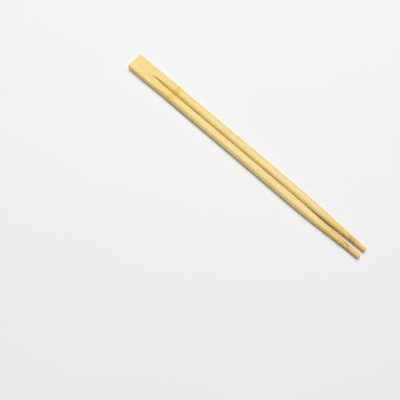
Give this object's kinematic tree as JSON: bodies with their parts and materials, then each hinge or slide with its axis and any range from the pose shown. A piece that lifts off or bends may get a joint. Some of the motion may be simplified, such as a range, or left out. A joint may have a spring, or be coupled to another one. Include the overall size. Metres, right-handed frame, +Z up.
{
  "type": "bamboo chopsticks",
  "caption": "Disposable bamboo chopsticks still joined at a flat square head: two rounded sticks side by side, parted by a slit, tapering to blunt round tips.",
  "frame": {"origin": "middle of the footprint of the pair lying on its broad face, on the surface it lies on", "axes": "+X along the pair from the joined head to the tips, +Y across the pair from one stick to the other, +Z up out of the surface"},
  "size_m": [0.21, 0.0132, 0.0052],
  "materials": {
    "bamboo": "planed raw bamboo, satin, fine fibres along the length"
  },
  "bodies": {
    "root": {"chopsticks": "bamboo"}
  },
  "joints": []
}
